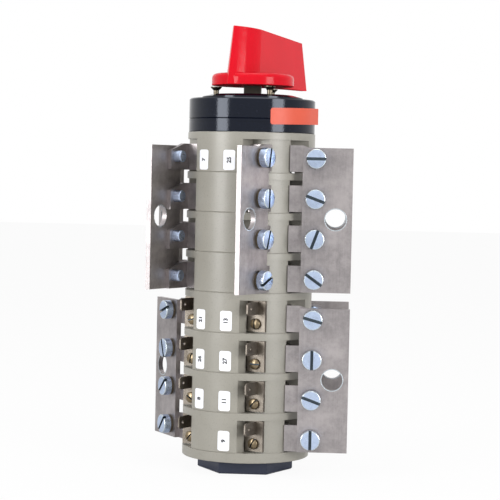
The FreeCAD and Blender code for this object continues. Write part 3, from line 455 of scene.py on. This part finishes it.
def make_finishes(look):
    """Every material by its name, which for a slot's plain finish is the slot's."""
    finishes = {
        "red_plastic": red_plastic(look),
        "black_plastic": black_plastic("black_plastic", look.black),
        "cap_plastic": black_plastic("cap_plastic", look.cap),
        "beige_plastic": beige_plastic(look),
        "tinned_copper": tinned_copper("tinned_copper", look.tin, look.tin_shade),
        "aged_tin": tinned_copper("aged_tin", look.aged_tin, look.aged_shade),
        "zinc_steel": plated_steel("zinc_steel", look.zinc, roughness=0.22),
        "yellow_steel": plated_steel("yellow_steel", look.yellow, roughness=0.3),
        "brass": plated_steel("brass", look.brass, roughness=0.24),
        "cam_plastic": paper("cam_plastic", paint(*CAM_TONE)),
        "sticker": paper("sticker", look.white),
        "ink": paper("ink", look.ink),
        "orange_label": paper("orange_label", look.orange),
    }
    for name, (tone, roughness) in METALS.items():
        finishes[name] = plated_steel(name, paint(*tone), roughness)
    return finishes


def finish_of(name):
    """The material of that name, made by the finishing operator."""
    if finish_name(name) not in bpy.data.materials:
        raise RuntimeError(f"the finish {name} isn't made yet")
    return bpy.data.materials[finish_name(name)]


class Shell:
    """Vertices and faces of one piece, gathered from closed parts."""

    def __init__(self):
        self.points = []
        self.faces = []
        self.kinds = []
        self.count = 0

    def add(self, points, faces, kinds=None):
        """Take in one part, its faces numbered from its own first point, with their kinds."""
        self.points.append(points)
        self.kinds += [PLAIN] * len(faces) if kinds is None else kinds
        self.faces += [tuple(int(corner) + self.count for corner in face) for face in faces]
        self.count += len(points)

    def build(self, name, material, slot=None, others=()):
        """Make the object, its end caps flat, and ride it on the fixed body; its slot is not used.

        The first material is for plain faces, and the others are for the kinds above it.
        """
        mesh = bpy.data.meshes.new(name)
        mesh.from_pydata(np.concatenate(self.points).tolist(), [], self.faces)
        for finish in (material, *others):
            mesh.materials.append(finish_of(finish))
        mesh.polygons.foreach_set("material_index", np.array(self.kinds, np.int32))
        corners = np.empty(len(mesh.polygons), np.int32)
        mesh.polygons.foreach_get("loop_total", corners)
        mesh.polygons.foreach_set("use_smooth", corners <= SMOOTH_CORNERS)
        mesh.set_sharp_from_angle(angle=SHARP_TURN)
        piece = bpy.data.objects.new(name, mesh)
        bpy.context.scene.collection.objects.link(piece)
        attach(piece, BODY)
        return piece


def tube_faces(rows, columns, closed=False):
    """Faces between closed rings of equal size, and the two end caps.

    Corner j of ring i is joined to corner j + 1 of the same ring and to both
    corners of ring i + 1; the caps are the first ring reversed and the last.
    A closed tube has no caps: its last ring is joined to its first.
    """
    i, j = np.meshgrid(np.arange(rows if closed else rows - 1), np.arange(columns), indexing="ij")
    after, above = (j + 1) % columns, (i + 1) % rows
    here, there = i * columns, above * columns
    quads = np.stack([here + j, here + after, there + after, there + j], -1)
    faces = quads.reshape(-1, 4).tolist()
    if not closed:
        faces.append(list(range(columns))[::-1])
        faces.append(list(range((rows - 1) * columns, rows * columns)))
    return faces


def stack(outlines):
    """A closed solid through rings of points, lowest first, each seen anticlockwise."""
    rings = np.asarray(outlines, float)
    return rings.reshape(-1, 3), tube_faces(rings.shape[0], rings.shape[1])


def lathe(radii, heights, corners=48):
    """Solid of revolution: radius r at height z becomes r cos a, r sin a, z for every angle a."""
    angles = np.linspace(0, 2 * np.pi, corners, endpoint=False)
    radii, heights = np.asarray(radii, float)[:, None], np.asarray(heights, float)[:, None]
    flat = np.ones_like(angles)[None, :]
    rings = np.stack([radii * np.cos(angles), radii * np.sin(angles), heights * flat], -1)
    return stack(rings)


def hoop(inner, outer, height, corners=48):
    """A low ring with a ridge: a triangle in the plane of radius and height, carried round Z.

    The triangle runs from the outer foot up to the ridge midway and down to
    the inner foot, which is anticlockwise, so the faces point outwards.
    """
    points = lathe([outer, (inner + outer) / 2, inner], [0, height, 0], corners)[0]
    return points, tube_faces(3, corners, closed=True)


def half_moon(radius, offset, inset, height, corners=20):
    """One ring of a slotted head's half: an arc closed by a chord beside the slot.

    The arc has the given radius less the inset, and the chord lies at the
    offset from the middle; the arc runs between the two ends of the chord.
    """
    rim = radius - inset
    reach = math.asin(offset / rim)
    angles = np.linspace(reach, np.pi - reach, corners)
    return np.stack([rim * np.cos(angles), rim * np.sin(angles), np.full(corners, height)], -1)


def slotted_head(radius, height, chamfer, slot_width, slot_depth, crown=0.0):
    """A head turned about Z: a full disc below the slot and two half moons beside it.

    With each part come its faces' kinds: slot for the disc's top and the half
    moons' chords, which take painted shade, rim for the rounding and plain elsewhere.
    """
    floor = height - slot_depth
    disc = lathe([radius, radius], [0, floor])
    parts = [(*disc, [PLAIN] * (len(disc[1]) - 1) + [SLOT])]
    for side in (1, -1):
        rings = [half_moon(radius, slot_width / 2, 0, floor - MOON_OVERLAP * slot_depth)]
        rings.append(half_moon(radius, slot_width / 2, 0, height - chamfer))
        for step in np.linspace(1 / ROUNDING_STEPS, 1, ROUNDING_STEPS):
            inset = chamfer * (1 - math.cos(step * math.pi / 2))
            level = height - chamfer * (1 - math.sin(step * math.pi / 2))
            rings.append(half_moon(radius, slot_width / 2, inset, level))
        if crown:
            rings.append(half_moon(radius, slot_width / 2, CROWN_INSET * radius, height + crown))
        rings = np.array(rings)
        rings[..., :2] *= side
        kinds = []
        for ring in range(len(rings) - 1):
            rounding = 1 <= ring <= ROUNDING_STEPS
            kinds += [RIM if rounding else PLAIN] * (rings.shape[1] - 1) + [SLOT]
        parts.append((*stack(rings), kinds + [PLAIN, PLAIN]))
    return parts


def spring_washer(bore, radius, height, corners=44):
    """A split ring: a rectangle carried round the bore while it rises.

    At angle a the section stands between the two radii. Its foot rises evenly
    with the turn by what the thickness leaves of the height, and a gap stays
    at the split.
    """
    thickness = WASHER_THICKNESS * height
    gap = WASHER_SPLIT
    angles = np.linspace(gap, 2 * np.pi - gap, corners)
    rise = (height - thickness) * (angles - gap) / (2 * np.pi - 2 * gap)
    rings = []
    for reach, lift in ((bore, 0), (radius, 0), (radius, thickness), (bore, thickness)):
        rings.append(np.stack([reach * np.cos(angles), reach * np.sin(angles), rise + lift], -1))
    rings = np.stack(rings, 1)[:, ::-1]
    return stack(rings)


def terminal_axes(terminal):
    """Unit vectors of a terminal: out along its wall, and out of its plate's face."""
    wall, side = TERMINALS[terminal]
    angle = math.radians(WALL_ANGLES[wall])
    out = np.array((math.cos(angle), math.sin(angle), 0))
    face = side * np.array((-math.sin(angle), math.cos(angle), 0))
    return out, face


def lay(points, centre, axis, across, turn):
    """Move points turned about Z so that Z lies on an axis, after a turn about it.

    The local X goes to the across direction and Y completes the right-handed
    frame; the turn is in degrees, anticlockwise when seen against the axis.
    """
    angle = math.radians(turn)
    third = np.cross(axis, across)
    along = math.cos(angle) * across + math.sin(angle) * third
    aside = np.cross(axis, along)
    return centre + points @ np.stack([along, aside, axis])


def stage_seam(number):
    """Height of a stage's lower seam, stage 1 being the top one."""
    return STAGE_LOW.z + (2 * STAGES_PER_GROUP - number) * STAGE_PITCH


# Turn of every slot that shows, in degrees anticlockwise from level, top stage first
SLOT_TURNS = {
    "t2": (0, -20, 70, -35, -15, 90, -20, 90),
    "t1": (80, 88, 72, 25),
    "t5": (-55, 15, 62, -48, 20, -70, 45, 50),
}
CLAMP_TURNS = {"t1": (90, 0, 48, 62), "t6": (15, 80, -30, 50)}
UNSEEN_TURN_STEP = 137


def slot_turn(table, terminal, number):
    """The slot's turn where it shows, and an even spread of turns elsewhere."""
    seen = table.get(terminal, ())
    if number < len(seen):
        return seen[number]
    return UNSEEN_TURN_STEP * (number + ord(terminal[1])) % 180


def level_across(face):
    """The level direction that points right when a face is looked at."""
    return np.cross((0, 0, 1), face)


class CAMSWITCH_OT_finishes(bpy.types.Operator):
    """Give every node of the switch its finish."""

    bl_idname = "camswitch.finishes"
    bl_label = "Finishes"

    def execute(self, context):
        materials = make_finishes(context.scene.switch_finishes)
        for part in frame["record"]["subparts"]:
            mesh = frame["nodes"][part["node"]].data
            mesh.materials.clear()
            mesh.materials.append(materials[OWN_FINISHES.get(part["node"], part["material_slot"])])
        return {"FINISHED"}


class CAMSWITCH_OT_busbar_screws(bpy.types.Operator):
    """Slotted screws with split washers on the busbars."""

    bl_idname = "camswitch.busbar_screws"
    bl_label = "Busbar screws"

    def execute(self, context):
        sizes = context.scene.switch_screws
        head = slotted_head(
            sizes.head_radius,
            sizes.head_height,
            sizes.head_chamfer,
            sizes.slot_width,
            sizes.slot_depth,
        )
        washer = spring_washer(sizes.washer_bore, sizes.washer_radius, sizes.washer_height)
        shank_length = BAR_FACE - sizes.shank_end
        shank = lathe(
            [SHANK_TIP, SHANK_RADIUS, SHANK_RADIUS],
            [-shank_length, SHANK_BEVEL - shank_length, sizes.washer_height],
        )
        for group, first_stage in (("upper", 1), ("lower", STAGES_PER_GROUP + 1)):
            heads, washers = Shell(), Shell()
            for terminal in TERMINALS:
                if group == "lower" and terminal in FREE_TERMINALS:
                    continue
                out, face = terminal_axes(terminal)
                bar_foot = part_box(f"{group}_busbar_{terminal}")[0].z
                for place in range(STAGES_PER_GROUP):
                    above = (STAGES_PER_GROUP - 1 - place) * STAGE_PITCH
                    height = bar_foot + sizes.from_bar_foot + above
                    beside = (BAR_LOW.x + sizes.from_bar_edge) * out + BAR_FACE * face
                    spot = beside + np.array((0, 0, height))
                    number = first_stage - 1 + place
                    spin = slot_turn(SLOT_TURNS, terminal, number)
                    across = level_across(face)
                    for points, faces, kinds in head:
                        lifted = points + np.array((0, 0, sizes.washer_height))
                        heads.add(lay(lifted, spot, face, across, spin), faces, kinds)
                    heads.add(lay(shank[0], spot, face, across, spin), shank[1])
                    turned = lay(washer[0], spot, face, across, WASHER_TURN_STEP * number)
                    washers.add(turned, washer[1])
            # The busbar screws' slot faces take painted shade and their rounding a painted
            # highlight
            screws = heads.build(
                f"{group}_slotted_screws", "zinc_steel", "zinc_steel", ("slot_painted_shade", "painted_highlight_rim")
            )
            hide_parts(f"{group}_busbar_screws")
            washers.build(f"{group}_spring_washers", "yellow_steel", "yellow_steel")
        return {"FINISHED"}


class CAMSWITCH_OT_clamp_screws(bpy.types.Operator):
    """Brass screws of the free terminals."""

    bl_idname = "camswitch.clamp_screws"
    bl_label = "Clamp screws"

    def execute(self, context):
        sizes = context.scene.switch_screws
        slot_depth = CLAMP_SLOT_DEPTH * sizes.clamp_height
        chamfer = CLAMP_CHAMFER * sizes.clamp_height
        height = sizes.clamp_height - chamfer
        head = slotted_head(
            sizes.clamp_radius, height, chamfer, sizes.clamp_slot, slot_depth, crown=chamfer
        )
        shell = Shell()
        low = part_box("clamp_screws")[0]
        for terminal in FREE_TERMINALS:
            out, face = terminal_axes(terminal)
            for place in range(STAGES_PER_GROUP):
                above = (STAGES_PER_GROUP - 1 - place) * STAGE_PITCH
                middle = low.z + sizes.clamp_radius + above
                beside = sizes.clamp_out * out + sizes.clamp_aside * face
                spot = beside + np.array((0, 0, middle))
                spin = slot_turn(CLAMP_TURNS, terminal, place)
                for points, faces, kinds in head:
                    shell.add(lay(points, spot, out, level_across(out), spin), faces, kinds)
        # The clamp screws' slot faces take painted shade; their rounding stays brass
        screws = shell.build("brass_clamp_screws", "brass", "brass", ("slot_painted_shade", "brass"))
        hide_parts("clamp_screws")
        return {"FINISHED"}


class CAMSWITCH_OT_hole_rims(bpy.types.Operator):
    """Polished edges of the busbars' lug holes, their brighter colour a painted highlight."""

    bl_idname = "camswitch.hole_rims"
    bl_label = "Hole rims"

    def execute(self, context):
        sizes = context.scene.switch_screws
        shell = Shell()
        for mount in frame["record"]["mounts"]:
            if not mount["name"].endswith("lug_hole"):
                continue
            bore = mount["dims"]["r_mm"] * MM + RIM_GAP
            points, faces = hoop(bore, bore + sizes.rim_width, sizes.rim_height)
            for side in (1, -1):
                axis = side * np.array(mount["axis"])
                spot = np.array(mount["pos_m"]) + mount["dims"]["length_mm"] / 2 * MM * axis
                shell.add(lay(points, spot, axis, level_across(axis), 0), faces)
        shell.build("lug_hole_rims", "painted_highlight_rim", "tinned_copper")
        return {"FINISHED"}


def slab(front, outward, thickness):
    """A closed sheet from a grid of points and their outward directions.

    The back grid is the front one, and the front is moved outwards by the
    thickness; a strip of faces closes all four borders.
    """
    rows, columns = front.shape[:2]
    back = front.reshape(-1, 3)
    top = (front + thickness * outward).reshape(-1, 3)
    index = np.arange(rows * columns).reshape(rows, columns)
    a, b, c, d = index[:-1, :-1], index[:-1, 1:], index[1:, 1:], index[1:, :-1]
    offset = rows * columns
    upper = np.stack([a, b, c, d], -1).reshape(-1, 4) + offset
    lower = np.stack([d, c, b, a], -1).reshape(-1, 4)
    border = np.concatenate([index[0, :-1], index[:-1, -1], index[-1, :0:-1], index[:0:-1, 0]])
    after = np.roll(border, -1)
    sides = np.stack([border, after, after + offset, border + offset], -1)
    return np.concatenate([back, top]), np.concatenate([upper, lower, sides]).tolist()


def rounded_half_width(across, half_height, half_width, corner):
    """Half the width of a rounded rectangle at a distance from its middle line."""
    into = np.clip(np.abs(across) - (half_height - corner), 0, corner)
    return half_width - (corner - np.sqrt(np.maximum(corner**2 - into**2, 0)))


def on_wall(angle, along, height, radius):
    """Points at an arc length beside an angle of the drum and at a height."""
    turn = angle + along / radius
    shape = np.broadcast(turn, height).shape
    turn, height = np.broadcast_to(turn, shape), np.broadcast_to(height, shape)
    return np.stack([radius * np.cos(turn), radius * np.sin(turn), height], -1)


# Numbers on the stickers of the front wall: left one and right one of a stage
STICKER_NUMBERS = {1: ("7", "25"), 5: ("21", "13"), 6: ("26", "27"), 7: ("8", "11"), 8: (None, "9")}
STICKER_TURNS = (-14.0, 13.0)


def digits_mesh(words, size, depth):
    """Thin closed digits as points and faces, centred, from the plain built-in type.

    The type comes with loose fronts, backs and sides, so they are welded and
    turned outwards.
    """
    curve = bpy.data.curves.new("digits", "FONT")
    curve.body = words
    curve.size = size
    curve.align_x = "CENTER"
    curve.align_y = "CENTER"
    curve.resolution_u = DIGIT_STEPS
    curve.offset = DIGIT_BOLDNESS * size
    curve.extrude = depth / 2
    writing = bpy.data.objects.new("digits", curve)
    mesh = bpy.data.meshes.new_from_object(writing)
    welded = bmesh.new()
    welded.from_mesh(mesh)
    bmesh.ops.remove_doubles(welded, verts=welded.verts, dist=WELD)
    bmesh.ops.recalc_face_normals(welded, faces=welded.faces)
    welded.to_mesh(mesh)
    welded.free()
    points = np.empty(len(mesh.vertices) * 3)
    mesh.vertices.foreach_get("co", points)
    faces = [tuple(polygon.vertices) for polygon in mesh.polygons]
    bpy.data.objects.remove(writing)
    bpy.data.curves.remove(curve)
    bpy.data.meshes.remove(mesh)
    return points.reshape(-1, 3), faces


class CAMSWITCH_OT_number_stickers(bpy.types.Operator):
    """White stickers with plain numbers on the front wall."""

    bl_idname = "camswitch.number_stickers"
    bl_label = "Number stickers"

    def execute(self, context):
        sizes = context.scene.switch_stickers
        stickers, digits = Shell(), Shell()
        across = np.linspace(-0.5, 0.5, STICKER_ROWS) * sizes.height
        half = rounded_half_width(across, sizes.height / 2, sizes.width / 2, sizes.corner)
        along = np.linspace(-1, 1, STICKER_COLUMNS)[None, :] * half[:, None]
        seat = STAGE_RADIUS + STICKER_GAP
        for number, pair in STICKER_NUMBERS.items():
            height = stage_seam(number) + sizes.above_seam
            for words, turn in zip(pair, STICKER_TURNS):
                if not words:
                    continue
                angle = math.radians(WALL_ANGLES["a"] + turn)
                grid = on_wall(angle, along, height + across[:, None], seat)
                outward = grid * (1, 1, 0) / seat
                points, faces = slab(grid, outward, sizes.thickness)
                stickers.add(points, faces)
                flat, letters = digits_mesh(words, sizes.digit_size, sizes.digit_depth)
                reach = seat + sizes.thickness + sizes.digit_depth / 2 + flat[:, 2]
                digits.add(on_wall(angle, -flat[:, 1], height + flat[:, 0], reach), letters)
        stickers.build("number_stickers", "sticker")
        digits.build("sticker_digits", "ink")
        return {"FINISHED"}


class CAMSWITCH_OT_bare_label(bpy.types.Operator):
    """Bare coral label on the latch housing, its end standing off."""

    bl_idname = "camswitch.bare_label"
    bl_label = "Bare label"

    def execute(self, context):
        sizes = context.scene.switch_stickers
        radius = LATCH_HIGH.x + LABEL_GAP
        arc = radius * (LABEL_END - LABEL_START)
        corner = LABEL_CORNER
        near = corner * (1 - np.cos(np.linspace(0, np.pi / 2, LABEL_CORNER_STEPS)))
        rest = np.linspace(near[-1], arc + sizes.label_tail, LABEL_COLUMNS)
        along = np.concatenate([near, rest[1:]])
        into = np.clip(corner - along, 0, corner)
        half = sizes.label_height / 2 - (corner - np.sqrt(corner**2 - into**2))
        turn = LABEL_START + np.minimum(along, arc) / radius
        free = np.maximum(along - arc, 0)
        outward = np.stack([np.cos(turn), np.sin(turn), np.zeros_like(turn)], -1)
        ahead = np.stack([-np.sin(turn), np.cos(turn), np.zeros_like(turn)], -1)
        path = radius * outward + free[:, None] * ahead
        middle = LATCH_LOW.z + sizes.label_middle
        share = np.linspace(-1, 1, LABEL_ROWS)
        grid = path[None] + np.zeros((LABEL_ROWS, 1, 1))
        rise = sizes.label_rise * along / along[-1]
        grid[..., 2] = middle + rise[None] + share[:, None] * half[None]
        shell = Shell()
        shell.add(*slab(grid, np.broadcast_to(outward, grid.shape), sizes.thickness))
        shell.build("bare_label", "orange_label")
        return {"FINISHED"}


class CAMSWITCH_OT_stage(bpy.types.Operator):
    """Floor, room, lamps and camera."""

    bl_idname = "camswitch.stage"
    bl_label = "Studio"

    def execute(self, context):
        studio = context.scene.switch_studio
        make_floor()
        make_room(studio.fill)
        for name, turn in (("left_strip", studio.left_lamp), ("right_strip", studio.right_lamp)):
            make_lamp(name, studio, studio.azimuth + turn)
        make_top_lamp(studio)
        make_camera(studio)
        context.scene.view_settings.view_transform = "Standard"
        return {"FINISHED"}


def make_floor():
    """A white floor that keeps a soft share of the switch's shadow."""
    mesh = bpy.data.meshes.new("floor")
    signs = ((-1, -1), (1, -1), (1, 1), (-1, 1))
    corners = [(FLOOR_REACH * x, FLOOR_REACH * y, 0) for x, y in signs]
    mesh.from_pydata(corners, [], [(0, 1, 2, 3)])
    floor = bpy.data.objects.new("floor", mesh)
    bpy.context.scene.collection.objects.link(floor)
    finish = Finish("floor", Roughness=0.9)
    finish.set("Base Color", [FLOOR_SHADE] * 3)
    glow = finish.node("ShaderNodeEmission", {}, {"Color": (1, 1, 1), "Strength": 1.0})
    path = finish.node("ShaderNodeLightPath")
    seen = FLOOR_GLOW * Wire(finish, path.outputs["Is Camera Ray"])
    inputs = {0: seen, 1: finish.shader.outputs[0], 2: glow.outputs[0]}
    mixed = finish.node("ShaderNodeMixShader", {}, inputs)
    output = next(node for node in finish.tree.nodes if node.type == "OUTPUT_MATERIAL")
    finish.feed(output.inputs["Surface"], mixed.outputs[0])
    mesh.materials.append(finish.material)


def make_room(fill):
    """Even light from all round, which camera, mirror and clear rays see as white."""
    world = bpy.data.worlds.new("room")
    world.use_nodes = True
    tree = world.node_tree
    tree.nodes.clear()
    path = tree.nodes.new("ShaderNodeLightPath")
    seen = path.outputs["Is Camera Ray"]
    for kind in ("Is Glossy Ray", "Is Transmission Ray"):
        either = tree.nodes.new("ShaderNodeMath")
        either.operation = "MAXIMUM"
        tree.links.new(seen, either.inputs[0])
        tree.links.new(path.outputs[kind], either.inputs[1])
        seen = either.outputs[0]
    strength = tree.nodes.new("ShaderNodeMapRange")
    strength.inputs["To Min"].default_value = fill
    strength.inputs["To Max"].default_value = 1.0
    tree.links.new(seen, strength.inputs["Value"])
    light = tree.nodes.new("ShaderNodeBackground")
    light.inputs["Color"].default_value = (1, 1, 1, 1)
    tree.links.new(strength.outputs[0], light.inputs["Strength"])
    output = tree.nodes.new("ShaderNodeOutputWorld")
    tree.links.new(light.outputs[0], output.inputs["Surface"])
    bpy.context.scene.world = world


def place_lamp(name, power, width, height, spot, aim):
    """A rectangular lamp at a spot that faces a point."""
    light = bpy.data.lights.new(name, "AREA")
    light.shape = "RECTANGLE"
    light.size = width
    light.size_y = height
    light.energy = power
    lamp = bpy.data.objects.new(name, light)
    bpy.context.scene.collection.objects.link(lamp)
    lamp.location = spot
    lamp.rotation_mode = "QUATERNION"
    lamp.rotation_quaternion = (Vector(aim) - Vector(spot)).to_track_quat("-Z", "Y")


def make_lamp(name, studio, turn):
    """One tall strip lamp beside the camera."""
    away = studio.lamp_distance
    spot = (away * math.sin(turn), -away * math.cos(turn), studio.lamp_middle)
    aim = (0, 0, studio.aim_height)
    place_lamp(name, studio.lamp_power, studio.lamp_width, studio.lamp_height, spot, aim)


def make_top_lamp(studio):
    """A wide soft lamp over the handle."""
    aim = (0, 0, studio.aim_height)
    place_lamp("overhead", studio.top_power, TOP_LAMP_SIZE, TOP_LAMP_SIZE, TOP_LAMP_SPOT, aim)


def make_camera(studio):
    """The photograph's camera, turned by its roll about the line of sight."""
    turn = studio.azimuth
    spot = Vector((math.sin(turn), -math.cos(turn), 0)) * studio.distance
    spot += Vector((0, 0, studio.camera_height))
    side = Vector((math.cos(turn), math.sin(turn), 0))
    aim = side * studio.aim_side + Vector((0, 0, studio.aim_height))
    ahead = (aim - spot).normalized()
    right = ahead.cross(Vector((0, 0, 1))).normalized()
    above = right.cross(ahead)
    level, rise = math.cos(studio.roll), math.sin(studio.roll)
    rolled_right = level * right + rise * above
    rolled_above = level * above - rise * right
    data = bpy.data.cameras.new("camera")
    data.lens = studio.lens
    data.sensor_width = FILM_WIDTH
    data.clip_start, data.clip_end = CLIP_NEAR, CLIP_FAR
    camera = bpy.data.objects.new("camera", data)
    bpy.context.scene.collection.objects.link(camera)
    turned = Matrix((rolled_right, rolled_above, -ahead)).transposed()
    camera.matrix_world = Matrix.Translation(spot) @ turned.to_4x4()
    bpy.context.scene.camera = camera


class CAMSWITCH_PT_panel(bpy.types.Panel):
    """Sidebar panel with the steps of the dress."""

    bl_label = PANEL
    bl_space_type = "VIEW_3D"
    bl_region_type = "UI"
    bl_category = PANEL

    def draw(self, context):
        for operator in OPERATORS:
            self.layout.operator(operator.bl_idname)
        for group in SETTINGS:
            settings = getattr(context.scene, group)
            for name in settings.bl_rna.properties.keys():
                if name not in ("rna_type", "name"):
                    self.layout.prop(settings, name)


SETTINGS = {
    "switch_finishes": Finishes,
    "switch_screws": ScrewSizes,
    "switch_stickers": StickerSizes,
    "switch_studio": Studio,
}
OPERATORS = (
    CAMSWITCH_OT_finishes,
    CAMSWITCH_OT_busbar_screws,
    CAMSWITCH_OT_clamp_screws,
    CAMSWITCH_OT_hole_rims,
    CAMSWITCH_OT_number_stickers,
    CAMSWITCH_OT_bare_label,
    CAMSWITCH_OT_stage,
)


def register():
    """Register every class and hang the settings on the scene."""
    for kind in (*SETTINGS.values(), *OPERATORS, CAMSWITCH_PT_panel):
        bpy.utils.register_class(kind)
    for name, kind in SETTINGS.items():
        setattr(bpy.types.Scene, name, PointerProperty(type=kind))


def unregister():
    """Take back what register did."""
    for name in SETTINGS:
        delattr(bpy.types.Scene, name)
    for kind in (CAMSWITCH_PT_panel, *OPERATORS, *SETTINGS.values()):
        bpy.utils.unregister_class(kind)


def main():
    """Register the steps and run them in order."""
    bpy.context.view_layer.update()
    register()
    for operator in OPERATORS:
        family, step = operator.bl_idname.split(".")
        getattr(getattr(bpy.ops, family), step)()


if __name__ == "__main__":
    main()
